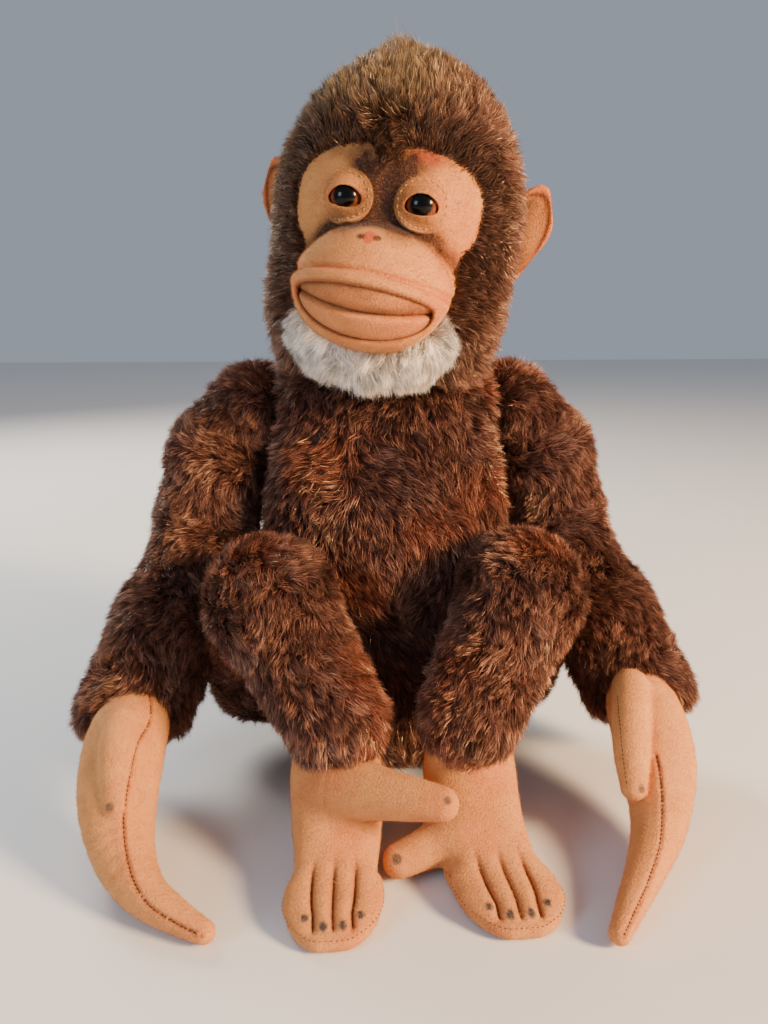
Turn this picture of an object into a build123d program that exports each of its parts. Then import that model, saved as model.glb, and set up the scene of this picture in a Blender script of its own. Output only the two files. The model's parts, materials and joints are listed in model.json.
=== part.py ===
from build123d import *

import math
import os

# Five-way jointed plush monkey, sitting, in millimetres. It faces -Y, +Z is up, and its own left side is +X.
# The origin is the middle of the flat seat. Mohair covers and felt hands, feet, ears and face are sewn
# shells over firm stuffing. The head, arms and legs each turn on two hardboard discs and a split pin.
# Limbs are built for the left side, and the right one is its mirror image.

# Cloth and clearances
MOHAIR = 1.6            # the woven backing with its pile pressed flat
FELT = 1.6
CLEAR = 0.05            # between pieces that are packed against each other
JOINT_GAP = 0.4         # between the two cloth faces that slide on each other

# Torso: (height, half width before the flat sides, half depth, middle in Y)
TORSO_SECTIONS = [
    (0, 34, 27, 0),
    (8, 47, 35, 0),
    (24, 55, 39, -1),
    (50, 58, 41, -2),
    (80, 58, 41, -3),
    (110, 57, 39, -3),
    (138, 57, 35, -1),
    (154, 53, 30, 1),
    (164, 40, 24, 2),
    (170, 22, 18, 3),
]
SIDE = 44.0             # half width between the flat sides that the limbs turn on
LIMB_FACE = SIDE + JOINT_GAP

# Disc joints, along each joint's own axis from the cloth face outwards
DISC_R, DISC_T = 11.5, 2.4
WASHER_R, WASHER_T = 6.0, 0.8
PIN_R = 1.2
PIN_RUN = 0.08          # radial clearance of the pin in its discs and washers
PIN_HOLE_R = 1.6        # the hole in the cloth
PIN_EYE_R, PIN_EYE_WIRE_R = 2.2, 0.9
PIN_LEG_R, PIN_LEG_LONG = 0.8, 4.6
POCKET_R, POCKET_DEEP = 6.4, 8.5    # the stuffing's hollow round a washer and a pin's end

# Arms
SHOULDER_PIVOT = (SIDE, 4, 146)
ARM_TOP, ARM_TOP_R = (56, 4, 149), 19
ELBOW, ELBOW_R = (76, -2, 98), 16.5
WRIST, WRIST_R = (99, -50, 46), 18.5
CUFF_R = 12.5
PALM, PALM_R = (101, -77, 26), 13
KNUCKLES, KNUCKLES_R = (92, -105, 12), 9.5
FINGERTIP, FINGERTIP_R = (66, -128, 6), 6
THUMB_ROOT, THUMB_ROOT_R = (95, -80, 33), 8
THUMB_TIP, THUMB_TIP_R = (87, -96, 23), 5

# Legs
HIP_PIVOT = (SIDE, -6, 36)
THIGH_TOP, THIGH_TOP_R = (56, -6, 36), 19
KNEE, KNEE_R = (47, -58, 88), 18.5
ANKLE, ANKLE_R = (24, -80, 50), 14.5
KNEE_REACH = 62         # inside this distance of the hip's axis a leg stays beside the torso

# Feet: (Y, middle in X, half width, middle height, half height) of each section, before the flat sole
FOOT_SECTIONS = [
    (-67, 24, 7, 13, 8),
    (-72, 24, 12, 17, 18),
    (-82, 24, 14, 20, 23),
    (-92, 25, 13.5, 14, 18),
    (-104, 28, 13.5, 9.5, 12),
    (-116, 31, 15, 7, 8.5),
    (-124, 32, 13.5, 6, 7),
    (-128, 32, 9, 6, 4),
]
BIG_TOE_R = 5.6
# The left big toe points outward of the right one, so that either leg turns past the other.
BIG_TOES = {
    "left": ((22, -93, 12), (-0.5, -91, 9)),
    "right": ((24, -108, 19), (-8, -114, 30)),
}

# Head, upright and facing -Y about the neck's middle, before it is turned and leaned
NECK = (0, 3, 170)
HEAD_TURN = -13
HEAD_LEAN = 7
SKULL, SKULL_R = (0, -8, 51), (45, 43, 62)
MUZZLE, MUZZLE_R = (0, -54, 31), (28, 26, 21)
JAW, JAW_R = (0, -28, 19), (36, 34, 26)
# Right half of the face's outline, as (X, height): brow, temple, cheek, lip, chin
FACE_OUTLINE = [(0, 75), (17, 75), (29, 62), (28, 44), (30, 28), (24, 15), (0, 11)]
FACE_FRONT, FACE_BACK = -110, -22
MOUTH_AT, MOUTH_R = (0, 24), (22, 8.5)
BEARD_HALF, BEARD_BACK, BEARD_TOP = 33, -14, 26
EYE_AT = (13.3, -47, 58)
EYE_R = 5.3
EYE_RING_R, EYE_RING_T = 11, 1.0
EYE_SHANK_R, EYE_SHANK_LONG = 0.7, 9
EAR_AT, EAR_R, EAR_T = (50, 5, 59), (14.5, 18.5), 3.0
EAR_BACK_SWEEP = 28

UP = (0, 0, 1)


def save(name, shape):
    export_step(shape, f"parts/{name}.step")


def save_pair(name, shape):
    """A left piece, and its mirror image on the right."""
    save(f"left_{name}", shape)
    save(f"right_{name}", mirror(shape, about=Plane.YZ))


def capsule(start, start_r, end, end_r):
    """A round-ended taper: two balls and the cone that touches both, turned as one solid."""
    axis = Vector(*end) - Vector(*start)
    long = axis.length
    lean = math.asin((start_r - end_r) / long)
    low = (start_r * math.cos(lean), start_r * math.sin(lean))
    high = (end_r * math.cos(lean), long + end_r * math.sin(lean))
    half_low = (lean - math.pi / 2) / 2
    half_high = (lean + math.pi / 2) / 2
    on_low = (start_r * math.cos(half_low), start_r * math.sin(half_low))
    on_high = (end_r * math.cos(half_high), long + end_r * math.sin(half_high))
    outline = [
        ThreePointArc((0, -start_r), on_low, low),
        Line(low, high),
        ThreePointArc(high, on_high, (0, long + end_r)),
        Line((0, long + end_r), (0, -start_r)),
    ]
    # The profile's height is Y; the placing turns it onto the axis asked for.
    solid = revolve(make_face(outline), axis=Axis.Y)
    return Plane(origin=start, z_dir=axis) * Rot(90, 0, 0) * solid


def chain(balls, inset):
    """Capsules from ball to ball, each ball smaller by inset."""
    body = None
    for (start, start_r), (end, end_r) in zip(balls, balls[1:]):
        piece = capsule(start, start_r - inset, end, end_r - inset)
        body = piece if body is None else body + piece
    return body


def ellipsoid(centre, radii, inset=0.0):
    return Pos(*centre) * scale(Sphere(1), by=tuple(r - inset for r in radii))


def rod(low, high, radius):
    """A cylinder on the local Z axis."""
    return Pos(0, 0, (low + high) / 2) * Cylinder(radius, high - low)


def ring(low, high, radius, hole):
    return rod(low, high, radius) - rod(low - 1, high + 1, hole)


def beside(near):
    """Everything to the left of a plane that faces along X."""
    return Pos(near + 150, 0, 100) * Box(300, 600, 600)


# Disc joints: each is built on its own axis, with the torso's cloth face at 0 and the limb outwards ----


def joint_place(pivot, axis):
    return Plane(origin=pivot, z_dir=axis)


SHOULDER = joint_place(SHOULDER_PIVOT, (1, 0, 0))
HIP = joint_place(HIP_PIVOT, (1, 0, 0))
NECK_JOINT = joint_place(NECK, UP)
TORSO_DISC_BACK = -(MOHAIR + CLEAR + DISC_T)
LIMB_DISC_FRONT = JOINT_GAP + MOHAIR + CLEAR
LIMB_DISC_BACK = LIMB_DISC_FRONT + DISC_T


def pin_hole():
    """What the pin takes out of the torso's and the limb's cloth."""
    return rod(-MOHAIR - 2, JOINT_GAP + MOHAIR + 2, PIN_HOLE_R)


def torso_pocket():
    back = TORSO_DISC_BACK - CLEAR
    return rod(back, 1, DISC_R + CLEAR) + rod(back - POCKET_DEEP, 1, POCKET_R)


def limb_pocket():
    back = LIMB_DISC_BACK + CLEAR
    return rod(-1, back, DISC_R + CLEAR) + rod(-1, back + POCKET_DEEP, POCKET_R)


def split_pin():
    """Its eye lies in the limb, and its two legs are bent apart in the torso."""
    legs_at = TORSO_DISC_BACK - WASHER_T - 2 * CLEAR - PIN_LEG_R
    eye_at = LIMB_DISC_BACK + WASHER_T + 2 * CLEAR + PIN_EYE_WIRE_R
    pin = rod(legs_at - PIN_LEG_R, eye_at + PIN_EYE_WIRE_R / 2, PIN_R)
    pin += Pos(0, 0, eye_at + PIN_EYE_R) * Rot(90, 0, 0) * Torus(PIN_EYE_R, PIN_EYE_WIRE_R)
    legs = Rot(0, 90, 0) * Cylinder(PIN_LEG_R, 2 * PIN_LEG_LONG)
    return pin + Pos(0, 0, legs_at) * legs


def joint_hardware(limb):
    """Each piece of one joint on its own axis, by name."""
    hole = PIN_R + PIN_RUN
    washer_low = TORSO_DISC_BACK - CLEAR
    washer_high = LIMB_DISC_BACK + CLEAR
    return {
        "disc_in_torso": ring(TORSO_DISC_BACK, TORSO_DISC_BACK + DISC_T, DISC_R, hole),
        "washer_in_torso": ring(washer_low - WASHER_T, washer_low, WASHER_R, hole),
        f"disc_in_{limb}": ring(LIMB_DISC_FRONT, LIMB_DISC_BACK, DISC_R, hole),
        f"washer_in_{limb}": ring(washer_high, washer_high + WASHER_T, WASHER_R, hole),
        "split_pin": split_pin(),
    }


# Torso ---------------------------------------------------------------------------------------------


def torso_form(inset=0.0):
    """The torso's sewn shape, smaller by inset all round, with a flat seat, sides and neck."""
    bottom, top = TORSO_SECTIONS[0][0], TORSO_SECTIONS[-1][0]
    rise = {bottom: inset, top: -inset}
    sections = [
        Pos(0, middle, z + rise.get(z, 0)) * Ellipse(wide - inset, deep - inset)
        for z, wide, deep, middle in TORSO_SECTIONS
    ]
    return loft(sections) & Box(2 * (SIDE - inset), 300, 500)


def make_torso():
    inside = torso_form(MOHAIR)
    cover = torso_form() - inside
    stuffing = inside
    for place in (SHOULDER, HIP, NECK_JOINT):
        pocket, hole = place * torso_pocket(), place * pin_hole()
        stuffing -= pocket
        cover -= hole
        if place is not NECK_JOINT:
            stuffing -= mirror(pocket, about=Plane.YZ)
            cover -= mirror(hole, about=Plane.YZ)
    save("torso_cover", cover)
    save("torso_stuffing", stuffing)


# Arms and hands ------------------------------------------------------------------------------------


def arm_form(inset=0.0):
    balls = [(ARM_TOP, ARM_TOP_R), (ELBOW, ELBOW_R), (WRIST, WRIST_R)]
    return chain(balls, inset) & beside(LIMB_FACE + inset)


def hand_form(inset=0.0):
    """The felt mitten: palm, curled fingers and thumb."""
    balls = [
        (WRIST, CUFF_R),
        (PALM, PALM_R),
        (KNUCKLES, KNUCKLES_R),
        (FINGERTIP, FINGERTIP_R),
    ]
    thumb = [(THUMB_ROOT, THUMB_ROOT_R), (THUMB_TIP, THUMB_TIP_R)]
    return chain(balls, inset) + chain(thumb, inset)


def make_arms():
    arm, arm_inside = arm_form(), arm_form(MOHAIR)
    hand, hand_inside = hand_form(), hand_form(FELT)
    save_pair("arm_cover", arm - arm_inside - SHOULDER * pin_hole() - hand)
    save_pair("arm_stuffing", arm_inside - SHOULDER * limb_pocket() - hand)
    save_pair("hand_cover", hand - hand_inside)
    save_pair("hand_stuffing", hand_inside)
    for name, piece in joint_hardware("arm").items():
        save_pair(f"shoulder_{name}", SHOULDER * piece)


# Legs and feet -------------------------------------------------------------------------------------


def leg_form(inset=0.0):
    """The mohair leg, bent at a sewn knee, and flat where it lies beside the torso."""
    balls = [(THIGH_TOP, THIGH_TOP_R), (KNEE, KNEE_R), (ANKLE, ANKLE_R)]
    leg = chain(balls, inset)
    near_hip = Pos(-100 + LIMB_FACE + inset, HIP_PIVOT[1], HIP_PIVOT[2]) * (
        Rot(0, 90, 0) * Cylinder(KNEE_REACH + inset, 200)
    )
    return leg - near_hip


def foot_form(big_toe, inset=0.0):
    """The felt foot on a flat sole, with its big toe standing off like a thumb."""
    first, last = FOOT_SECTIONS[0][0], FOOT_SECTIONS[-1][0]
    move = {first: -inset, last: inset}
    sections = [
        Plane(origin=(x, y + move.get(y, 0), z), x_dir=(1, 0, 0), z_dir=(0, -1, 0))
        * Ellipse(wide - inset, tall - inset)
        for y, x, wide, z, tall in FOOT_SECTIONS
    ]
    root, tip = big_toe
    foot = loft(sections) + capsule(root, BIG_TOE_R + 1 - inset, tip, BIG_TOE_R - inset)
    return foot & Pos(0, -100, 100 + inset) * Box(400, 400, 200)


def make_legs():
    leg, leg_inside = leg_form(), leg_form(MOHAIR)
    cover = leg - leg_inside - HIP * pin_hole()
    stuffing = leg_inside - HIP * limb_pocket()
    for side, big_toe in BIG_TOES.items():
        foot, foot_inside = foot_form(big_toe), foot_form(big_toe, FELT)
        pieces = {
            "leg_cover": cover - foot,
            "leg_stuffing": stuffing - foot,
            "foot_cover": foot - foot_inside,
            "foot_stuffing": foot_inside,
        }
        for name, piece in pieces.items():
            save(f"{side}_{name}", piece if side == "left" else mirror(piece, about=Plane.YZ))
    for name, piece in joint_hardware("leg").items():
        save_pair(f"hip_{name}", HIP * piece)


# Head ----------------------------------------------------------------------------------------------

HEAD = Pos(*NECK) * Rot(0, 0, HEAD_TURN) * Rot(0, HEAD_LEAN, 0)
ABOVE_NECK = Pos(0, 0, NECK[2] + JOINT_GAP + 200) * Box(600, 600, 400)


def head_form(inset=0.0):
    """Skull, muzzle and jaw as one smooth-sewn form, in the head's own frame."""
    form = ellipsoid(SKULL, SKULL_R, inset)
    form += ellipsoid(JAW, JAW_R, inset)
    return form + ellipsoid(MUZZLE, MUZZLE_R, inset)


def rest_head(shape, inset=0.0):
    """A piece of the head as it rests on the torso, cut flat above the neck."""
    return (HEAD * shape) & Pos(0, 0, inset) * ABOVE_NECK


def face_cutter():
    """The outline of the felt face, run through the front of the head."""
    right = FACE_OUTLINE[1:-1]
    outline = [FACE_OUTLINE[0], *right, FACE_OUTLINE[-1]]
    outline += [(-x, z) for x, z in reversed(right)]
    face = make_face(Spline(*[(x, z) for x, z in outline], periodic=True))
    plane = Plane(origin=(0, FACE_BACK, 0), x_dir=(1, 0, 0), z_dir=(0, -1, 0))
    return extrude(plane * face, FACE_BACK - FACE_FRONT)


def mouth_cutter():
    plane = Plane(origin=(MOUTH_AT[0], MUZZLE[1], MOUTH_AT[1]), x_dir=(1, 0, 0), z_dir=(0, -1, 0))
    return extrude(plane * Ellipse(*MOUTH_R), MUZZLE[1] - FACE_FRONT)


def eye_rod(side, radius):
    """A cylinder out through an eye, from behind the face to in front of it."""
    x, y, z = EYE_AT
    return Pos(x * side, y - 5, z) * Rot(90, 0, 0) * Cylinder(radius, 30)


def eye_form(side, extra=0.0):
    """A glass eye's ball and the wire shank behind it."""
    x, y, z = EYE_AT
    shank = Pos(0, EYE_R + EYE_SHANK_LONG / 2 - 1, 0) * Rot(90, 0, 0)
    shank *= Cylinder(EYE_SHANK_R + extra, EYE_SHANK_LONG)
    return Pos(x * side, y, z) * (Sphere(EYE_R + extra) + shank)


def ear_form(side):
    """A flat felt ear, standing out and swept back."""
    sweep = math.radians(EAR_BACK_SWEEP)
    x, y, z = EAR_AT
    plane = Plane(
        origin=(x * side, y, z),
        x_dir=(side * math.cos(sweep), math.sin(sweep), 0),
        z_dir=(side * math.sin(sweep), -math.cos(sweep), 0),
    )
    return extrude(plane * Ellipse(*EAR_R), EAR_T / 2, both=True)


def make_head():
    outer, inside = head_form(), head_form(MOHAIR)
    shell = outer - inside
    face, mouth = face_cutter(), mouth_cutter()
    low, high = BEARD_TOP - 60, BEARD_TOP
    chin = Pos(0, (FACE_FRONT + BEARD_BACK) / 2, (low + high) / 2)
    chin *= Box(2 * BEARD_HALF, BEARD_BACK - FACE_FRONT, high - low)
    felt = shell & face
    stuffing = inside
    for side in (1, -1):
        felt -= eye_rod(side, EYE_R + CLEAR)
        stuffing -= eye_form(side, CLEAR)
    mouth_line = Pos(0, 0, MOUTH_AT[1])
    above = mouth_line * Pos(0, 0, 50 + CLEAR) * Box(400, 400, 100)
    below = mouth_line * Pos(0, 0, -50 - CLEAR) * Box(400, 400, 100)
    lips = shell & mouth
    save("face_felt", rest_head(felt - mouth))
    save("mouth_upper_felt", rest_head(lips & above))
    save("mouth_lower_felt", rest_head(lips & below))
    save("beard", rest_head((shell & chin) - face))
    cover = rest_head(shell - face - chin)
    # A cloth floor closes the head where it sits on the neck.
    floor = (HEAD * inside) & Pos(0, 0, NECK[2] + JOINT_GAP + MOHAIR / 2) * Box(300, 300, MOHAIR)
    save("head_cover", cover + floor - NECK_JOINT * pin_hole())
    save("head_stuffing", rest_head(stuffing, MOHAIR) - NECK_JOINT * limb_pocket())
    skin = head_form(-EYE_RING_T) - outer
    for name, side in {"left": 1, "right": -1}.items():
        ring_cut = eye_rod(side, EYE_RING_R) - eye_rod(side, EYE_R + CLEAR)
        save(f"{name}_eye_ring", rest_head(skin & ring_cut))
        save(f"{name}_eye", rest_head(eye_form(side)))
        save(f"{name}_ear", rest_head(ear_form(side) - outer))
    for name, piece in joint_hardware("head").items():
        save(f"neck_{name}", NECK_JOINT * piece)


os.makedirs("parts", exist_ok=True)
make_torso()
make_arms()
make_legs()
make_head()
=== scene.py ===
import json
import math

import bpy
import numpy as np
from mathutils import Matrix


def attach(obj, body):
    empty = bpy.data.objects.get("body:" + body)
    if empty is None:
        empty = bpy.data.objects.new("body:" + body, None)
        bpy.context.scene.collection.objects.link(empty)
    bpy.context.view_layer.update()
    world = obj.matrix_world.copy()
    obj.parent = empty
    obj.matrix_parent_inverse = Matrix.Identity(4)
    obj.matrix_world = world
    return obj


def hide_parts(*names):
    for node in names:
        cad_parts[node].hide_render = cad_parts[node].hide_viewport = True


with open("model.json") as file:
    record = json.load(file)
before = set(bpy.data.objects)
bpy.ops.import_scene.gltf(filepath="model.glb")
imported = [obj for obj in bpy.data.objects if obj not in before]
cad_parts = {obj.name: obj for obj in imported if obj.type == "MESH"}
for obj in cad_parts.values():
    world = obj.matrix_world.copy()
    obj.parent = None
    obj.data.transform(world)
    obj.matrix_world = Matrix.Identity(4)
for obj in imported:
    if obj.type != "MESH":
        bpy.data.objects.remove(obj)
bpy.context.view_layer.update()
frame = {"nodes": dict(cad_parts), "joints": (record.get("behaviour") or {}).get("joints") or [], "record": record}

import openvdb
from mathutils import Matrix, Vector

# A five-way jointed plush monkey, sitting. Shapes are worked out in millimetres and written in metres.
# Every soft form is a distance field, turned into a mesh, and the mohair is real strands on it.
# Limbs are built on the monkey's left (+X) and mirrored. The head is built upright and facing -Y.

MM = 0.001

# Pile lengths and strand sizes
PILE = 8.0
STRAND_WIDTH = 0.28
FUZZ_LENGTH, FUZZ_WIDTH = 1.15, 0.10
STRANDS = {"torso": 80000, "limb": 66000, "head": 80000, "beard": 45000}     # in each piece of a coat
FIBRES = {"hand": 28000, "foot": 30000, "face": 46000, "mouth": 5000, "eye": 5000, "ear": 9000}
FLOOR_CLEAR = 0.3            # strands that would dip under this height are left out
FLOOR_HALF = 3.0             # metres

# Spacing of the grids that the forms are sampled on
BODY_STEP, BEARD_STEP, LIMB_FELT_STEP = 1.6, 0.9, 0.8
FACE_STEP, MOUTH_STEP, EAR_STEP, RING_STEP, GLASS_STEP = 0.62, 0.6, 0.6, 0.5, 0.42

# Joint places, from the frame
PIVOTS = {joint["name"]: np.array(joint["pos_m"]) / MM for joint in frame["joints"]}
NECK, HIP, SHOULDER = PIVOTS["neck_turn"], PIVOTS["left_hip"], PIVOTS["left_shoulder"]
SIDE = SHOULDER[0]           # the plane where torso and limbs meet
HEAD_TURN, HEAD_LEAN = -13, 7

# Torso: (height, half width, half depth, middle in Y)
TORSO = np.array([
    (0, 37, 30, 0), (8, 43, 35, 0), (24, 44, 39, -1), (50, 46, 41, -2), (80, 49, 41.5, -3),
    (110, 48, 39.5, -3), (130, 45.5, 36, -2), (145, 44.5, 33, 0), (158, 43, 30, 2), (170, 36, 25, 3),
])

# Limbs: (X, Y, Z, radius) along each bone
ARM = [
    (53, 4, 150, 17.5), (69, 2, 131, 17.2), (75.5, -1, 106, 16.6), (77, -6, 95, 15.8), (90, -26, 66, 18),
    (103, -43, 37, 18.5),
]
CUFF_FACING, CUFF_REACH = np.array((0, -0.65, -0.76)), 6.0
HANDS = {
    "left": [
        (97, -50, 42, 11.5), (97, -64, 37, 14.2), (96, -80, 26, 13.6), (90, -97, 14, 9.8),
        (80, -112, 8.5, 6.8), (70, -125, 6, 5.0), (61, -137, 4.4, 3.4),
    ],
    "right": [
        (98, -50, 42, 11.5), (101, -64, 37, 14.4), (101.5, -80, 25, 13.8), (97.5, -95, 14, 10.6),
        (89, -109, 8.5, 7.4), (78, -118, 6, 5.4), (67, -125, 4.4, 3.6),
    ],
}
THUMBS = {
    "left": [(90, -64, 50, 7), (85, -78, 44, 7), (82, -88, 36, 6.4), (80.5, -95, 27, 4.6)],
    "right": [(101, -70, 46, 6.5), (100, -82, 40, 6.4), (98.5, -93, 29, 4.8)],
}
SEAM_TOP = (98, -43, 52, 11.5)
HAND_SEAM_FROM = {"left": 16, "right": 1}      # the left thumb covers the start of its hand's seam
LEG = [(56, -6, 36, 18.5), (47, -58, 88, 18), (24, -80, 50, 15)]
# Feet: (Y, middle in X, half width, height) from heel to toes
FOOT = [
    (-63, 24, 3, 26), (-68, 24, 10, 38), (-78, 24, 15, 45), (-88, 24.5, 16, 38), (-98, 25.5, 15, 26),
    (-107, 27.5, 14.4, 16), (-114, 29, 14.9, 11), (-120, 30, 14.5, 9), (-125, 30.6, 12.7, 7.6),
    (-128.6, 31, 10, 6.8), (-131, 31, 6.6, 6.2), (-132, 31, 3.2, 5.8),
]
HEEL_Y, TOES_Y = FOOT[0][0], FOOT[-1][0]
FOOT_SHIFT = {"left": 1.5, "right": -3.5}      # how far the toes point outwards
FOOT_WIDTH = {"left": 1.0, "right": 0.92}
RIM_R = 2.4
TOE_LINES_BACK, TOE_LINES_FRONT = -108, -128
BIG_TOES = {
    "left": [(22, -91, 15, 10), (9, -97, 10, 7.2), (-3.5, -101, 7.2, 5.8)],
    "right": [(22, -90, 30, 12), (12, -99, 33, 9.0), (0, -107, 35, 7.0), (-9, -112, 36, 5.6)],
}

# Head, in its own frame about the neck
SKULL, SKULL_R = (0, -8, 54), (45, 42, 57.5)
CHEEKS, CHEEKS_R = (0, -17, 20), (42, 38, 33)
MUZZLE, MUZZLE_R = (0, -51, 29), (27.5, 28, 23)
EYE_AT, EYE_R = (13.3, -47, 58), 5.8
EYE_OPENING = (5.8, 3.4)     # half width and half height
RING_R, RING_STITCH_R = 9.6, 8.2
MOUTH_CORNER, MOUTH_HALF = 24.4, 23.3
MOUTH_RISE, MOUTH_DROP = 4.6, 13.0
MOUTH_TILT, MOUTH_SAG = 0.06, 3.6
MOUTH_SEAM_GAP = 0.04
LIP_R = 2.0
NOSE_AT = (0.2, 44)
NOSTRIL_OFF = 2.7
EAR_AT, EAR_R = (49, 5, 57), (11.5, 18.5)
EAR_SWEEP, EAR_SLANT = 28, 0.24
CREST = (-5, -10)            # where the pile of the crown runs to a tuft

# Colours, linear
DARK_ROOT = np.array((0.019, 0.0075, 0.006))
BODY_MIDDLE, BODY_TIP = np.array((0.122, 0.040, 0.034)), np.array((0.72, 0.37, 0.23))
WORN_MIDDLE, WORN_TIP = np.array((0.185, 0.046, 0.028)), np.array((0.70, 0.31, 0.18))
HEAD_MIDDLE, HEAD_TIP = np.array((0.118, 0.064, 0.031)), np.array((0.68, 0.47, 0.23))
WHITE, CREAM = np.array((0.93, 0.86, 0.78)), np.array((0.90, 0.76, 0.60))
# Brown on the felt: airbrushing, and also painted shade in the mouth's gaps and seam, beside the eye rings and
# over the feet.
BROWN_AIRBRUSH_AND_SHADE = (0.045, 0.018, 0.013)
RED_AIRBRUSH = (0.55, 0.10, 0.035)
NAIL_PAINT = (0.045, 0.043, 0.045)
HAND_THREAD, TOE_THREAD = (0.075, 0.018, 0.012), (0.26, 0.075, 0.035)
EYE_THREAD, BRIDGE_THREAD = (0.50, 0.27, 0.12), (0.016, 0.009, 0.007)


# Fields ----
# A field takes points (..., 3) in millimetres and gives the distance to a surface, negative inside.


def norm(vectors):
    return np.linalg.norm(vectors, axis=-1)


def unit(vectors):
    return vectors / np.maximum(norm(vectors)[..., None], 1e-9)


def vector(x, y, z):
    """Points or directions from coordinates, any of which may be one number for all."""
    return np.stack(np.broadcast_arrays(x, y, z), -1)


def split(points):
    """X, Y and Z."""
    return points[..., 0], points[..., 1], points[..., 2]


def bell(value, width):
    """A smooth bump, 1 where value is 0."""
    return np.exp(-(value / width) ** 2)


def smooth_min(a, b, blend):
    share = np.clip(0.5 + 0.5 * (b - a) / blend, 0, 1)
    return b + (a - b) * share - blend * share * (1 - share)


def smooth_max(a, b, blend):
    return -smooth_min(-a, -b, blend)


def step_up(value, low, high):
    share = np.clip((value - low) / (high - low), 0, 1)
    return share * share * (3 - 2 * share)


def squircle(u, v, size, power=2.5):
    """Rough distance to the rounded box where u and v, both positive, reach 1."""
    return ((u**power + v**power) ** (1 / power) - 1) * size


def ellipsoid(points, centre, radii):
    offset = points - np.array(centre, points.dtype)
    radii = np.array(radii, points.dtype)
    far, steep = norm(offset / radii), norm(offset / radii**2)
    return far * (far - 1) / np.maximum(steep, 1e-6)


def bone(points, start, end):
    """Distance to a tapered bone between two (X, Y, Z, radius) ends."""
    a, b = np.array(start[:3], points.dtype), np.array(end[:3], points.dtype)
    along = b - a
    share = np.clip((points - a) @ along / (along @ along), 0, 1)
    return norm(points - a - share[..., None] * along) - (start[3] + (end[3] - start[3]) * share)


def limb(points, bones, blend):
    field = bone(points, bones[0], bones[1])
    for start, end in zip(bones[1:], bones[2:]):
        field = smooth_min(field, bone(points, start, end), blend)
    return field


def smooth_path(knots, count):
    """Catmull-Rom points through (..., n) knots, any number of columns."""
    knots = np.array(knots, float)
    ends = np.vstack([2 * knots[0] - knots[1], knots, 2 * knots[-1] - knots[-2]])
    spans = len(knots) - 1
    at = np.linspace(0, spans, count)
    first = np.minimum(at.astype(int), spans - 1)
    t = (at - first)[:, None]
    p0, p1, p2, p3 = (ends[first + i] for i in range(4))
    return 0.5 * (2 * p1 + (p2 - p0) * t + (2 * p0 - 5 * p1 + 4 * p2 - p3) * t**2
                  + (3 * p1 - p0 - 3 * p2 + p3) * t**3)


def tube(points, knots, count):
    """Distance to a smooth tapered tube through (X, Y, Z, radius) knots."""
    path = smooth_path(knots, count)
    field = bone(points, path[0], path[1])
    for start, end in zip(path[1:], path[2:]):
        field = np.minimum(field, bone(points, start, end))
    return field


def line_gap(points, path):
    """Distance to a polyline."""
    gap = np.full(points.shape[:-1], 1e3, points.dtype)
    for start, end in zip(path, path[1:]):
        gap = np.minimum(gap, bone(points, (*start, 0), (*end, 0)))
    return gap


def slope(field, points, reach=0.12):
    """The field's gradient."""
    grads = np.empty(points.shape)
    for axis in range(3):
        step = np.zeros(3)
        step[axis] = reach
        grads[..., axis] = (field(points + step) - field(points - step)) / (2 * reach)
    return grads


def waves(points, size, seed, count=7):
    """Smooth seeded noise of about unit height, whose features are about size across."""
    rng = np.random.default_rng(seed)
    total = np.zeros(points.shape[:-1])
    for direction, phase in zip(unit(rng.normal(size=(count, 3))), rng.uniform(0, 2 * math.pi, count)):
        pitch = 2 * math.pi / size * rng.uniform(0.6, 1.5)
        total += np.sin(points @ (direction * pitch) + phase)
    return total / math.sqrt(count)


def swirl(points, size, seed):
    """A smooth seeded direction at each point."""
    return np.stack([waves(points, size, seed + i) for i in range(3)], -1)


def touch(field, start, toward, steps=30):
    """Where rays from start points, going toward a direction, meet a field's surface from outside."""
    points, way = np.array(start, float), unit(np.array(toward, float))
    for _ in range(steps):
        points = points + way * np.clip(field(points), -3, 3)[:, None] * 0.8
    return points


# Meshes ----
# A form is a field with the points and quads of its surface.


def surface(field, low, high, step):
    """The form where field is zero, sampled every step millimetres."""
    low, high = np.array(low, float), np.array(high, float)
    axes = [np.arange(low[i], high[i] + step, step, dtype=np.float32) for i in range(3)]
    grid = np.stack(np.meshgrid(*axes, indexing="ij"), -1)
    volume = openvdb.FloatGrid(float(step * 3))
    volume.copyFromArray(np.clip(field(grid), -3 * step, 3 * step).astype(np.float32))
    points, quads = volume.convertToQuads(isovalue=0.0)
    points = low + points.astype(float) * step
    for _ in range(2):
        grads = slope(field, points)
        steep = np.maximum((grads**2).sum(-1), 0.05)
        move = -(field(points) / steep)[:, None] * grads
        points = points + np.clip(move, -step / 2, step / 2)
    quads = quads.astype(int)
    corners = points[quads]
    facing = np.cross(corners[:, 2] - corners[:, 0], corners[:, 3] - corners[:, 1])
    if (facing * slope(field, corners.mean(1))).sum() < 0:
        quads = quads[:, ::-1]
    return field, points, quads


def straight(points):
    return points


def mirrored(points):
    return points * (-1, 1, 1)


SIDES = (("left", straight), ("right", mirrored))
TURN = (Matrix.Rotation(math.radians(HEAD_TURN), 3, "Z") @ Matrix.Rotation(math.radians(HEAD_LEAN), 3, "Y"))
TURN = np.array(TURN)


def on_neck(points):
    """From the head's own frame to the toy's."""
    return points @ TURN.T + NECK


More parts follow.
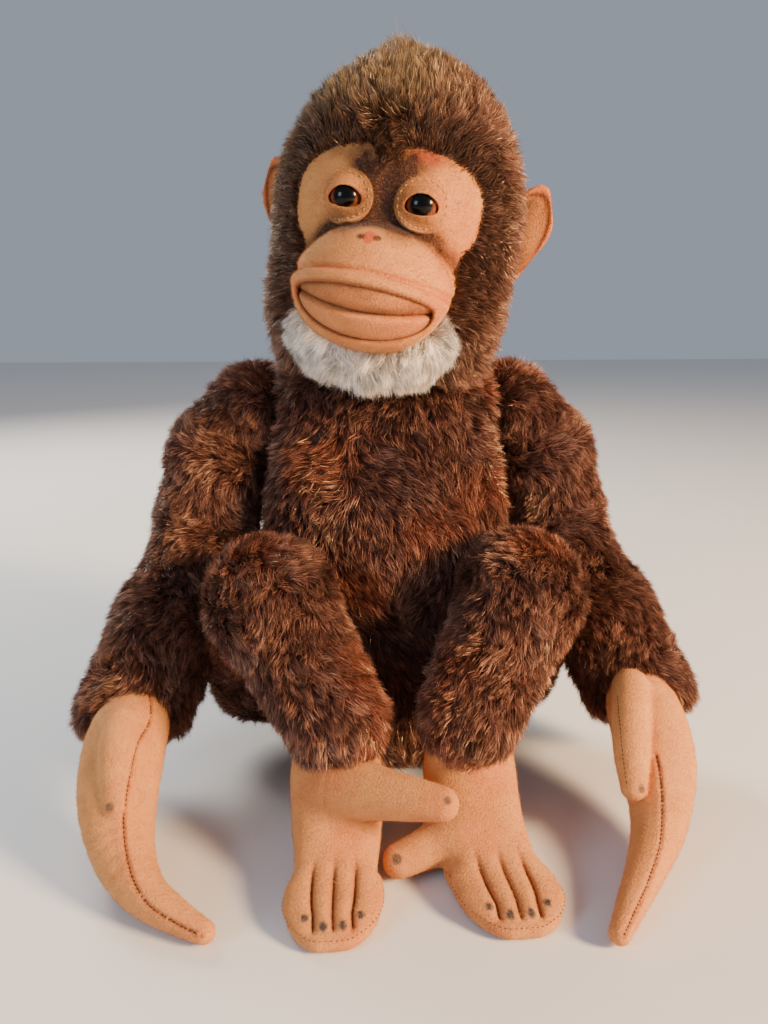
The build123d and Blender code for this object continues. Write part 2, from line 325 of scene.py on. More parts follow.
def piece(name, points, loops, starts, cloth, body, place, paint=None):
    """A mesh object from points in millimetres. loops and starts are its faces' corners."""
    material, slot = cloth
    mesh = bpy.data.meshes.new(name)
    mesh.vertices.add(len(points))
    mesh.vertices.foreach_set("co", (place(points) * MM).astype(np.float32).ravel())
    mesh.loops.add(len(loops))
    mesh.loops.foreach_set("vertex_index", loops.astype(np.int32))
    mesh.polygons.add(len(starts))
    mesh.polygons.foreach_set("loop_start", starts.astype(np.int32))
    mesh.polygons.foreach_set("use_smooth", np.ones(len(starts), bool))
    mesh.update(calc_edges=True)
    if place is mirrored:
        mesh.flip_normals()
    if paint is not None:
        layer = mesh.color_attributes.new("paint", "FLOAT_COLOR", "POINT")
        rgba = np.ones((len(points), 4), np.float32)
        rgba[:, :3] = paint
        layer.data.foreach_set("color", rgba.ravel())
    mesh.materials.append(material)
    obj = bpy.data.objects.new(name, mesh)
    bpy.context.scene.collection.objects.link(obj)
    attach(obj, body)
    return obj


def form_piece(name, form, cloth, body, place, paint=None, stands_for=()):
    """A form's surface as an object. It takes the place of the nodes it stands for."""
    _, points, quads = form
    obj = piece(name, points, quads.ravel(), np.arange(len(quads)) * 4, cloth, body, place, paint)
    if stands_for:
        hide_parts(*stands_for)
    return obj


# Mohair and felt fibres ----


def scatter(points, quads, count, density, rng):
    """Random places on a mesh, thinned by density."""
    tris = np.vstack([quads[:, [0, 1, 2]], quads[:, [0, 2, 3]]])
    a, b, c = points[tris[:, 0]], points[tris[:, 1]], points[tris[:, 2]]
    weight = norm(np.cross(b - a, c - a)) * density((a + b + c) / 3)
    total = np.cumsum(weight)
    chosen = np.searchsorted(total, rng.uniform(0, total[-1], count))
    u, v = rng.uniform(size=(2, count, 1))
    over = u + v > 1
    u, v = np.where(over, 1 - u, u), np.where(over, 1 - v, v)
    return a[chosen] + u * (b - a)[chosen] + v * (c - a)[chosen]


def clump_ids(roots, size, seed):
    """Which tuft each root belongs to: the cells of a warped grid."""
    cells = np.floor((roots + swirl(roots, size * 3.1, seed) * size * 0.6) / size).astype(np.int64)
    keys = (cells[:, 0] * 73856093) ^ (cells[:, 1] * 19349663) ^ (cells[:, 2] * 83492791)
    return np.unique(keys, return_inverse=True)[1].ravel()


def tuft_means(tuft, members, values):
    """Each strand's tuft's mean."""
    return np.stack([np.bincount(tuft, values[:, i]) / members for i in range(3)], -1)[tuft]


# How a coat grows where it says nothing else
COAT = {"lift": 0.8, "lie": 0.9, "tuft": 4.6, "clump": 0.55, "sway": 0.36, "width": 1.0, "off_floor": False}


def fur(name, form, coat, cloth, body, seed, place=straight):
    """Strands of mohair standing on a form. coat says how they grow."""
    field, points, quads = form
    rng = np.random.default_rng(seed)
    roots = scatter(points, quads, coat["count"], coat["density"], rng)
    normals = unit(slope(field, roots))
    flow = coat["flow"](roots)
    flow = unit(flow - (flow * normals).sum(-1, keepdims=True) * normals)
    long = coat["length"](roots) * rng.uniform(0.72, 1.12, len(roots))
    tuft = clump_ids(roots, coat["tuft"], seed)
    members = np.bincount(tuft)
    tone_of = rng.normal(0, 1, len(members))
    sway_of = rng.normal(0, coat["sway"], (len(members), 3))
    lift = coat["lift"] + 0.12 * rng.normal(size=len(roots))
    start = unit(normals * lift[:, None] + flow * 0.55 + 0.16 * rng.normal(size=roots.shape))
    lean = flow * coat["lie"] + normals * 0.35 + sway_of[tuft]
    end = unit(lean + 0.2 * rng.normal(size=roots.shape))
    base = roots - normals * 0.4
    middle = base + start * (long * 0.5)[:, None]
    tip = middle + unit(0.35 * start + 0.75 * end) * (long * 0.58)[:, None]
    # Strands of one tuft lean together at their tips, and short ones less.
    pull = np.clip(coat["clump"] + 0.2 * rng.normal(size=len(roots)), 0, 0.9)[:, None]
    pull = pull * np.clip(long / PILE, 0.1, 1)[:, None]
    tip_mean, middle_mean = tuft_means(tuft, members, tip), tuft_means(tuft, members, middle)
    tip = tip + (tip_mean - tip) * pull
    middle = middle + (middle_mean - middle) * pull * 0.35
    if coat["off_floor"]:
        keep = (middle[:, 2] > FLOOR_CLEAR) & (tip[:, 2] > FLOOR_CLEAR)
        roots, base, middle, tip, tuft = (values[keep] for values in (roots, base, middle, tip, tuft))
    count = len(base)
    across = unit(np.cross(middle - base, rng.normal(size=base.shape)))
    width = STRAND_WIDTH * coat["width"] * rng.uniform(0.7, 1.25, count)[:, None] / 2
    strands = np.stack([
        base - across * width, base + across * width,
        middle + across * width * 0.8, middle - across * width * 0.8, tip,
    ], 1).reshape(-1, 3)
    loops = (np.arange(count)[:, None] * 5 + np.array([0, 1, 2, 3, 3, 2, 4])).ravel()
    starts = (np.arange(count)[:, None] * 7 + np.array([0, 4])).ravel()
    # Colour: dark roots, a middle tone, and lighter tips, by strand and by tuft.
    tone = np.clip(0.45 + 0.24 * rng.normal(size=count) + 0.15 * tone_of[tuft], 0, 1.15)
    root_rgb, middle_rgb, tip_rgb = coat["colours"](roots)
    middle_rgb = middle_rgb * (0.28 + 1.15 * tone)[:, None]
    light_tip = (tone ** 1.9)[:, None]
    tips = middle_rgb * (1 - light_tip) + tip_rgb * light_tip * 1.15
    rgb = np.stack([root_rgb, root_rgb, middle_rgb, middle_rgb, tips], 1).reshape(-1, 3)
    return piece(name, strands, loops, starts, cloth, body, place, rgb)


def double_fur(prefix, form, coat, body, seed, place=straight):
    """A coat in two pieces, so that neither has too many faces."""
    for part in range(2):
        fur(f"{prefix}_fur_{'ab'[part]}", form, coat, MOHAIR, body, seed + part, place)


def fuzz(name, form, paint, count, cloth, body, seed, place=straight, shown=None):
    """Short wool fibres that stand off a felt surface, with the paint of the felt under them."""
    field, points, _ = form
    rng = np.random.default_rng(seed)
    outside = np.arange(len(points)) if shown is None else np.flatnonzero(shown)
    chosen = outside[rng.integers(0, len(outside), count)]
    roots = points[chosen] + rng.uniform(-0.4, 0.4, (count, 3))
    normals = unit(slope(field, roots))
    roots = roots - normals * (field(roots)[:, None] + 0.08)
    lie = unit(np.cross(normals, rng.normal(size=roots.shape)))
    long = FUZZ_LENGTH * rng.uniform(0.5, 1.3, (count, 1))
    tip = roots + unit(lie + normals * rng.uniform(0.15, 1.1, (count, 1))) * long
    tip[:, 2] = np.maximum(tip[:, 2], 0.2)
    across = unit(np.cross(tip - roots, normals)) * FUZZ_WIDTH / 2
    fibres = np.stack([roots - across, roots + across, tip], 1).reshape(-1, 3)
    fibre_paint = np.repeat(paint[chosen], 3, axis=0)
    return piece(name, fibres, np.arange(3 * count), np.arange(count) * 3, cloth, body, place, fibre_paint)


# Materials ----


class Look:
    """A node material with a Principled shader. Inputs are set by name or number."""

    def __init__(self, name):
        self.material = bpy.data.materials.new(name)
        self.material.use_nodes = True
        self.nodes, self.links = self.material.node_tree.nodes, self.material.node_tree.links
        self.nodes.clear()
        self.shader = self.add("BsdfPrincipled")
        self.output = self.add("OutputMaterial", {0: self.shader.outputs[0]})

    def add(self, kind, inputs=None, **settings):
        node = self.nodes.new("ShaderNode" + kind)
        for name, value in settings.items():
            setattr(node, name, value)
        return self.feed(node, inputs or {})

    def feed(self, node, inputs):
        """Sets a node's inputs to numbers, colours or other nodes' outputs."""
        for key, value in inputs.items():
            if isinstance(value, bpy.types.NodeSocket):
                self.links.new(value, node.inputs[key])
            else:
                node.inputs[key].default_value = (*value, 1) if isinstance(value, tuple) else value
        return node

    def noise(self, scale, detail=3.0):
        """3-D noise in the object's own metres."""
        where = self.add("TexCoord").outputs["Object"]
        return self.add("TexNoise", {"Scale": scale, "Detail": detail, "Vector": where}).outputs["Fac"]

    def ramp(self, value, low, high):
        """A number moved from the range of a noise to a range of its own."""
        ends = {"From Min": 0.3, "From Max": 0.7, "To Min": low, "To Max": high}
        return self.add("MapRange", {**ends, "Value": value}).outputs["Result"]

    def mix(self, share, first, second, blend="MIX"):
        node = self.add("Mix", data_type="RGBA", blend_type=blend)
        return self.feed(node, {0: share, 6: first, 7: second}).outputs[2]

    def paint(self):
        return self.add("Attribute", attribute_name="paint").outputs["Color"]

    def uneven(self, colour, scale, low, high):
        """A colour made darker and lighter by a fine noise."""
        grey = self.ramp(self.noise(scale), low, high)
        greys = self.add("CombineColor", {0: grey, 1: grey, 2: grey}).outputs[0]
        return self.mix(1.0, colour, greys, "MULTIPLY")

    def bump(self, height, distance, strength):
        node = self.add("Bump", {"Distance": distance, "Strength": strength, "Height": height})
        self.feed(self.shader, {"Normal": node.outputs[0]})


def mohair_material(name, sheen_tint, rough):
    """Strands, and the white ones' skin: their own colour, a soft shine and a little light through them."""
    look = Look(name)
    colour = look.uneven(look.paint(), 240, 0.8, 1.2)
    look.feed(look.shader, {
        "Base Color": colour, "Roughness": look.ramp(look.noise(900), rough - 0.1, rough + 0.1),
        "Specular IOR Level": 0.8, "Specular Tint": sheen_tint,
        "Sheen Weight": 0.12, "Sheen Roughness": 0.35, "Sheen Tint": sheen_tint})
    through = look.add("BsdfTranslucent", {"Color": colour})
    both = look.add("MixShader", {0: 0.14, 1: look.shader.outputs[0], 2: through.outputs[0]})
    look.feed(look.output, {0: both.outputs[0]})
    return look.material


def felt_material(name, base, deep):
    """Wool felt. The paint attribute holds brown airbrushing with painted shade, red airbrushing and nail-grey
    airbrushing in R, G and B.
    """
    look = Look(name)
    fibre = look.noise(1500, 5)
    colour = look.mix(look.ramp(look.noise(130, 4), 0, 1), base, deep)
    speck = tuple(min(1, c * 1.25 + 0.015) for c in base)
    colour = look.mix(look.ramp(fibre, 0, 0.45), colour, speck)
    parts = look.add("SeparateColor", {0: look.paint()})
    takes = look.ramp(fibre, 1.1, 0.85)        # the paint takes unevenly on the felt's fibres
    # The brown layer lays airbrushing and painted shade alike.
    for channel, tint in ((1, RED_AIRBRUSH), (0, BROWN_AIRBRUSH_AND_SHADE), (2, NAIL_PAINT)):
        share = look.add("Math", {0: parts.outputs[channel], 1: takes}, operation="MULTIPLY", use_clamp=True)
        colour = look.mix(share.outputs[0], colour, tint)
    look.feed(look.shader, {
        "Base Color": colour, "Roughness": 0.92, "Specular IOR Level": 0.15,
        "Sheen Weight": 0.08, "Sheen Roughness": 0.5, "Sheen Tint": (1.0, 0.85, 0.7)})
    look.bump(fibre, 0.0006, 0.8)
    return look.material


def plain_material(name, base, second, scale, rough, metallic=0.0):
    """Two tones of a grain, and a fine bump."""
    look = Look(name)
    grain = look.noise(scale, 6)
    look.feed(look.shader, {
        "Base Color": look.mix(look.ramp(grain, 0, 1), base, second),
        "Roughness": look.ramp(grain, rough - 0.08, rough + 0.08), "Metallic": metallic})
    look.bump(grain, 0.0002, 0.5)
    return look.material


def eye_material():
    """Brown glass with a black pupil and a polished surface. The paint is the distance from the pupil."""
    look = Look("eye_glass")
    rings = look.add("ValToRGB", {0: look.paint()})
    stops = [(0.0, (0.002, 0.002, 0.002)), (0.62, (0.002, 0.002, 0.002)), (0.66, (0.07, 0.016, 0.007)),
             (0.84, (0.28, 0.075, 0.028)), (1.0, (0.12, 0.03, 0.012))]
    for index, (at, rgb) in enumerate(stops):
        stop = rings.color_ramp.elements[index] if index < 2 else rings.color_ramp.elements.new(at)
        stop.position = at
        stop.color = (*rgb, 1)
    flecks = look.ramp(look.noise(1400), 0.0, 0.5)
    look.feed(look.shader, {
        "Base Color": look.mix(flecks, rings.outputs[0], (0.01, 0.005, 0.004), "MULTIPLY"),
        "Roughness": 0.3, "Specular IOR Level": 0.05, "Coat Weight": 0.28, "Coat Roughness": 0.02})
    return look.material


def thread_material():
    look = Look("thread")
    look.feed(look.shader, {"Base Color": look.uneven(look.paint(), 2600, 0.7, 1.1), "Roughness": 0.75})
    return look.material


# Cloths: a material and the slot it belongs to
BACKING_TONES = (0.050, 0.018, 0.010), (0.030, 0.011, 0.006)
BACKING = (plain_material("mohair_backing", *BACKING_TONES, 700, 0.9), "brown_mohair")
MOHAIR = (mohair_material("brown_mohair", (0.95, 0.66, 0.42), 0.34), "brown_mohair")
WHITE_MOHAIR = (mohair_material("white_mohair", (1.0, 0.95, 0.88), 0.5), "white_mohair")
FELT = (felt_material("felt", (0.60, 0.265, 0.084), (0.50, 0.195, 0.058)), "felt")
LIP_FELT = (felt_material("mouth_felt", (0.58, 0.225, 0.074), (0.44, 0.145, 0.044)), "mouth_felt")
EYE_GLASS = (eye_material(), "eye_glass")
THREAD = (thread_material(), "felt")


def blend_rgb(share, first, second):
    return first + (second - first) * share[:, None]


def body_colours(seed):
    """Dark brown, with patches where the pile has worn reddish."""
    def colours(roots):
        worn = step_up(waves(roots, 46, seed), 0.2, 1.2)
        root = np.broadcast_to(DARK_ROOT, roots.shape)
        return root, blend_rgb(worn, BODY_MIDDLE, WORN_MIDDLE), blend_rgb(worn, BODY_TIP, WORN_TIP)
    return colours


def no_paint(points):
    return np.zeros(points.shape)


def paint_nail(paint, points, at, radius, soft, strength=1.0, stretch=1):
    away = norm((points - at) / stretch)
    paint[:, 2] = np.maximum(paint[:, 2], strength * step_up(radius - away, 0, soft))


# Torso ----


def torso_field(points):
    x, y, z = split(points)
    wide, deep, middle = (np.interp(z, TORSO[:, 0], TORSO[:, i]) for i in (1, 2, 3))
    side = squircle(np.abs(x) / wide, np.abs(y - middle) / deep, np.minimum(wide, deep))
    return smooth_max(smooth_max(side, 0.3 - z, 7), z - TORSO[-1, 0], 6)


def make_torso():
    form = surface(torso_field, (-56, -50, -3), (56, 46, 176), BODY_STEP)
    form_piece("torso_skin", form, BACKING, "torso", straight,
               stands_for=("torso_cover", "torso_stuffing"))

    def density(p):
        on_top = (p[:, 2] > 168) & (np.hypot(p[:, 0] / 30, p[:, 1] / 20) < 1)
        return np.where((p[:, 2] < 3) | on_top, 0.02, 1.0)

    def length(p):
        x, y, z = split(p)
        beside = step_up(np.abs(x), 38, 44) * (
            step_up(21 - np.hypot(y - SHOULDER[1], z - SHOULDER[2]), 0, 8)
            + step_up(30 - np.hypot(y - HIP[1], z - HIP[2]), 0, 8))
        return PILE * (1.05 - 0.85 * np.clip(beside, 0, 1) + 0.25 * step_up(z, 150, 162))

    def flow(p):
        return vector(p[:, 0] * 0.012, 0, -1) + swirl(p, 34, 5)

    coat = {**COAT, "count": STRANDS["torso"], "density": density, "length": length, "flow": flow,
            "lift": 0.75, "lie": 0.95, "colours": body_colours(31), "off_floor": True}
    double_fur("torso", form, coat, "torso", 11)


# Arms and hands ----


def arm_field(points):
    field = limb(points, ARM, 7)
    field = smooth_max(field, points @ CUFF_FACING.astype(points.dtype) - CUFF_REACH, 4)
    return smooth_max(field, SIDE + 0.6 - points[..., 0], 5)


def along(knots):
    """The direction along a bone chain, smoothly, at each point."""
    path = smooth_path(knots, 24)[:, :3]
    middles, ways = (path[1:] + path[:-1]) / 2, unit(path[1:] - path[:-1])

    def direction(p):
        near = ((p[:, None, :] - middles) ** 2).sum(-1)
        weight = np.exp(-(near - near.min(1, keepdims=True)) / 120)
        return (weight[:, :, None] * ways).sum(1) / weight.sum(1, keepdims=True)
    return direction


def limb_coat(knots, seed, joint_at):
    """Pile that runs down a limb, short on the face that turns against the torso."""
    direction, cuff = along(knots), np.array(knots[-1][:3])

    def density(p):
        return 0.1 + 0.9 * step_up(p[:, 0], SIDE + 0.5, SIDE + 4)

    def length(p):
        flat = step_up(SIDE + 9 - p[:, 0], 0, 8) * step_up(26 - norm(p - joint_at), 0, 8)
        return PILE * (1.0 - 0.8 * np.clip(flat, 0, 1))

    def flow(p):
        flare = step_up(14 - norm(p - cuff) + 10, 0, 10)[:, None]
        return direction(p) * (1 + flare) + swirl(p, 30, seed) * 0.9

    return {**COAT, "count": STRANDS["limb"], "density": density, "length": length, "flow": flow,
            "colours": body_colours(seed + 50), "off_floor": True}


def make_limbs(kind, form, coat, seeds):
    """A left and a right arm or leg."""
    for (side, place), seed in zip(SIDES, seeds):
        body = f"{side}_{kind}"
        form_piece(f"{body}_skin", form, BACKING, body, place,
                   stands_for=(f"{body}_cover", f"{body}_stuffing"))
        double_fur(body, form, coat, body, seed, place)


def make_arms():
    form = surface(arm_field, (42, -74, 12), (126, 28, 176), BODY_STEP)
    make_limbs("arm", form, limb_coat(ARM, 71, SHOULDER), (21, 25))


def seam_path(field, knots, forward, count=44, first=1):
    """A line on a surface, straight in front of a form's own middle line, from the cuff to near its tip."""
    middle = smooth_path(knots, count)[first:-1]
    return touch(field, middle[:, :3] + np.array(forward) * 30.0, -np.array(forward))


def stitches(name, path, radius, rgb, body, place, field, dash=None, gap=0.0, lift=0.0):
    """A sewing thread along a path on a field's surface: one line, or dashes with gaps."""
    far = np.concatenate([[0], np.cumsum(norm(np.diff(path, axis=0)))])
    spans = [(0, far[-1])]
    if dash:
        count = max(1, int((far[-1] + gap) // (dash + gap)))
        pitch = far[-1] / count
        spans = [(i * pitch, i * pitch + dash) for i in range(count)]
    sides = 6
    around = np.linspace(0, 2 * math.pi, sides, endpoint=False)[None, :, None]
    all_points, all_quads, first = [], [], 0
    for low, high in spans:
        rings = max(4, int((high - low) / 0.6))
        at = np.linspace(low, min(high, far[-1]), rings)
        centre = np.stack([np.interp(at, far, path[:, i]) for i in range(3)], -1)
        share = np.linspace(0, 1, rings)
        swell = np.sqrt(np.clip(1 - (2 * share - 1) ** 4, 0.04, 1))
        way = unit(np.gradient(centre, axis=0))
        side = unit(np.cross(way, unit(slope(field, centre))))
        out = np.cross(side, way)
        centre = centre + out * (lift * np.sin(share * math.pi))[:, None]
        ring = np.cos(around) * side[:, None] + np.sin(around) * out[:, None]
        all_points.append((centre[:, None] + ring * (radius * swell)[:, None, None]).reshape(-1, 3))
        row, column = np.meshgrid(np.arange(rings - 1) * sides, np.arange(sides), indexing="ij")
        beside = (column + 1) % sides
        quads = np.stack([row + column, row + beside, row + sides + beside, row + sides + column], -1)
        caps = np.array([[0, 5, 4, 1], [1, 4, 3, 2]])
        last = (rings - 1) * sides
        all_quads += [quads.reshape(-1, 4) + first, caps + first, caps[:, ::-1] + last + first]
        first += rings * sides
    form = (field, np.vstack(all_points), np.vstack(all_quads))
    return form_piece(name, form, THREAD, body, place, np.array(rgb))


def make_hand(side, place):
    hand_knots, thumb_knots, body = HANDS[side], THUMBS[side], f"{side}_arm"

    def bare(points):
        return smooth_min(tube(points, hand_knots, 22), tube(points, thumb_knots, 12), 1.4)

    seam = seam_path(bare, [SEAM_TOP, *hand_knots], (-0.35, -0.90, 0.26), first=HAND_SEAM_FROM[side])

    def field(points):
        gap = line_gap(points, seam)
        return bare(points) + (1.1 * bell(gap, 0.55) - 0.6 * bell(gap, 2.4))

    form = surface(field, (54, -142, -3), (122, -30, 62), LIMB_FELT_STEP)
    points = form[1]
    gap = line_gap(points, seam)
    paint = no_paint(points)
    paint[:, 0] = 0.35 * bell(gap, 0.7)
    paint[:, 1] = 0.30 * bell(gap, 0.9) + 0.12 * bell(gap, 5)
    paint_nail(paint, points, np.array(thumb_knots[-1][:3]) + (1.5, -4.6, 2.2), 2.2, 0.8, 0.75)
    form_piece(f"{side}_hand", form, FELT, body, place, paint,
               stands_for=(f"{side}_hand_cover", f"{side}_hand_stuffing"))
    fuzz(f"{side}_hand_fuzz", form, paint, FIBRES["hand"], FELT, body, 101, place)
    thread = {"dash": 1.2, "gap": 0.3, "lift": 0.05}
    stitches(f"{side}_hand_seam", seam, 0.22, HAND_THREAD, body, place, bare, **thread)
    if side == "left":
        seam_of_thumb = seam_path(bare, thumb_knots, (-0.75, -0.62, 0.20), 20)
        stitches("left_thumb_seam", seam_of_thumb, 0.2, HAND_THREAD, body, place, bare, **thread)


# Legs and feet ----


def from_hip(points):
    return np.hypot(points[..., 1] - HIP[1], points[..., 2] - HIP[2])


def leg_field(points):
    beside_torso = smooth_min(SIDE + 0.6 - points[..., 0], 61 - from_hip(points), 4)
    return smooth_max(limb(points, LEG, 8), beside_torso, 4)


def make_legs():
    form = surface(leg_field, (4, -100, 12), (82, 20, 112), BODY_STEP)
    coat = limb_coat(LEG, 91, HIP)
    near_torso = coat["density"]
    coat["density"] = lambda p: np.where(from_hip(p) > 58, 1.0, near_torso(p))
    make_limbs("leg", form, coat, (41, 45))


FOOT_PROFILE = smooth_path(FOOT, 60)


def foot_section(y, side):
    """The middle, half width and height of one foot, by Y."""
    middle, wide, tall = (np.interp(-y, -FOOT_PROFILE[:, 0], FOOT_PROFILE[:, i]) for i in (1, 2, 3))
    front = step_up(-y, 85, 128)
    return middle + FOOT_SHIFT[side] * front, wide * (1 + (FOOT_WIDTH[side] - 1) * front), tall


def toe_line_gap(x, y, side):
    """Distance across to the nearest of the three sewn lines between the four toes."""
    middle, wide, _ = foot_section(np.clip(y, TOE_LINES_FRONT + 4, TOE_LINES_BACK), side)
    share = (x - middle) / wide
    return np.min([np.abs(share - line) for line in (-0.5, 0.0, 0.5)], axis=0) * wide


def toe_line_depth(y, z):
    """How far along the toes' lines a point is, fading at both ends, on the upper side."""
    along_line = step_up(-y, -TOE_LINES_BACK - 2, -TOE_LINES_BACK + 5)
    return along_line * step_up(y - TOE_LINES_FRONT, -3.5, -0.5) * step_up(z, 3.5, 5.5)


def foot_rim(side):
    """The rolled edge round the toes, where the sole is sewn to the top."""
    y = np.concatenate([np.linspace(-105, -124, 12), np.linspace(-125, -131.5, 10)])
    middle, wide, _ = foot_section(y, side)
    return np.vstack([vector(middle - wide + 0.8, y, 3.0), vector(middle + wide - 0.8, y, 3.0)[::-1]])


def foot_field(side, rim):
    def field(points):
        x, y, z = split(points)
        middle, wide, tall = foot_section(y, side)
        half = tall / 2
        sole = squircle(np.abs(x - middle) / wide, np.abs(z - half) / half, np.minimum(wide, half))
        sole = smooth_max(sole, np.maximum(TOES_Y - y, y - HEEL_Y), 2)
        ankle = bone(points, (24, -80, 52, 12.5), (24, -79, 30, 14))
        foot = smooth_min(sole, ankle, 8)
        gap = toe_line_gap(x, y, side)
        foot = foot + (1.3 * bell(gap, 0.7) - 0.9 * (1 - bell(gap, 2.2))) * toe_line_depth(y, z)
        foot = smooth_min(foot, line_gap(points, rim) - RIM_R, 1.0)
        foot = smooth_min(foot, tube(points, BIG_TOES[side], 26), 5.0)
        return smooth_max(foot, 0.15 - z, 1.5)
    return field


def foot_paint(side, points):
    x, y, z = split(points)
    line = bell(toe_line_gap(x, y, side), 0.8) * toe_line_depth(y, z)
    paint = no_paint(points)
    # The brown and a little red over the whole foot are partly painted shade, as the feet sit in shadow, and
    # partly the felt's own darker orange-brown.
    paint[:, 0] = 0.45 * line + 0.07
    paint[:, 1] = 0.35 * line + 0.05 + 0.25 * step_up(waves(points, 26, 3), 0.2, 1.4)
    centre, half, _ = foot_section(-124, side)
    for share in (-0.72, -0.25, 0.25, 0.72):
        nail = (centre + share * half, -129.5 + 8 * share**2, 6.6)
        paint_nail(paint, points, nail, 1.55, 0.5, stretch=(1, 1.2, 1.6))
    tip, before = (np.array(BIG_TOES[side][i][:3]) for i in (-1, -2))
    paint_nail(paint, points, tip + unit(tip - before) * 1.5 + (0, -4.0, 4.4), 2.3, 0.9, 0.8)
    # Under the big toe: a reddish seam line, with painted shade along it.
    under_toe = np.array([(x, y - 0.45 * r, z - 0.85 * r) for x, y, z, r in BIG_TOES[side]])
    seam = bell(line_gap(points, under_toe), 1.3)
    paint[:, :2] += seam[:, None] * (0.25, 0.4)
    return np.clip(paint, 0, 1)


def make_foot(side, place):
    body = f"{side}_leg"
    rim = foot_rim(side)
    field = foot_field(side, rim)
    form = surface(field, (-16, -138, -2), (50, -58, 68), LIMB_FELT_STEP)
    points = form[1]
    paint = foot_paint(side, points)
    form_piece(f"{side}_foot", form, FELT, body, place, paint,
               stands_for=(f"{side}_foot_cover", f"{side}_foot_stuffing"))
    fuzz(f"{side}_foot_fuzz", form, paint, FIBRES["foot"], FELT, body, 103, place, points[:, 2] > 1)
    outward = unit((rim[1:-1] - rim.mean(0)) * (1, 1, 0))
    path = touch(field, rim[1:-1] + outward * 8 + (0, 0, 5.5), -outward - (0, 0, 0.55))
    stitches(f"{side}_toe_stitches", path, 0.2, TOE_THREAD, body, place, field, dash=0.8, gap=0.9, lift=0.15)


# Head ----


def mouth_gap(x, z):
    """Distance in front view to the mouth's outline, negative inside: a low arch over a deep bowl."""
    above = z + MOUTH_TILT * x - MOUTH_CORNER
    tall = np.where(above > 0, MOUTH_RISE, MOUTH_DROP)
    u, v = x / MOUTH_HALF, above / tall
    far = np.hypot(u, v)
    steep = np.hypot(u / MOUTH_HALF, v / tall)
    return far * (far - 1) / np.maximum(steep, 1e-6)


def mouth_seam(x):
    """The height of the seam between the mouth's two halves, by X."""
    return MOUTH_CORNER - MOUTH_TILT * x - MOUTH_SAG * (1 - (x / MOUTH_HALF) ** 2)


def crease_height(x):
    """The height of the fold where the muzzle begins, by X."""
    return 50 - 0.018 * x**2


def head_base(points):
    return smooth_min(ellipsoid(points, SKULL, SKULL_R), ellipsoid(points, CHEEKS, CHEEKS_R), 12)


def chin_base(points):
    """The head with the muzzle under the beard."""
    return smooth_min(head_base(points), ellipsoid(points, MUZZLE, np.array(MUZZLE_R) - 1.5), 6)


def face_base(points):
    """The head's form with its brow and muzzle, before the lips."""
    x, y, z = split(points)
    form = smooth_min(head_base(points), ellipsoid(points, MUZZLE, MUZZLE_R), 5)
    front = step_up(-y, 25, 40)
    crease = (z - crease_height(x)) * front
    fold = 1.6 * bell(crease, 2.6) * front * step_up(30 - np.abs(x), 0, 8)
    bridge = 1.3 * bell(x, 4.5) * step_up(z, 50, 56) * step_up(78 - z, 0, 8) * front
    return form + fold + bridge


def face_field(points):
    """The felt face's outer surface: lips rolled round the mouth."""
    x, y, z = split(points)
    form = face_base(points)
    mouth = mouth_gap(x, z)
    front = y < -35
    lip_r = LIP_R * (0.85 + 0.25 * step_up(MOUTH_HALF + 2 - np.abs(x), 0, 12))
    roll = np.where(front, np.hypot(mouth - 1.6, form + 0.2) - lip_r, 50)
    form = form + 3.2 * step_up(-mouth, -0.5, 1.5) * front + 0.9 * bell(mouth - 4.2, 1.1) * front
    return smooth_min(form, roll, 0.7)


def mouth_field(points):
    """The mouth's two plump halves inside the lips."""
    x, _, z = split(points)
    plump = 2.3 * (1 - bell(z - mouth_seam(x), 1.35)) * step_up(-mouth_gap(x, z), -2, 1.8)
    return face_base(points) + 1.6 - plump


def face_outline(x, z):
    """Distance in front view to the edge of the felt, negative inside."""
    upper = squircle(np.abs(x) / 34.5, np.abs(z - 57) / 20.0, 24, 2.7)
    lower = (np.hypot(x / 28.5, (z - 33) / 27.0) - 1) * 26
    peak = (np.hypot(x / 5.0, (z - 86) / 11.5) - 1) * 4
    return smooth_max(smooth_min(upper, lower, 6), -peak, 2.5)


def beside_felt(x, z, width):
    """1 at the felt's edge, less away from it."""
    return bell(np.clip(face_outline(x, z), 0, None), width)


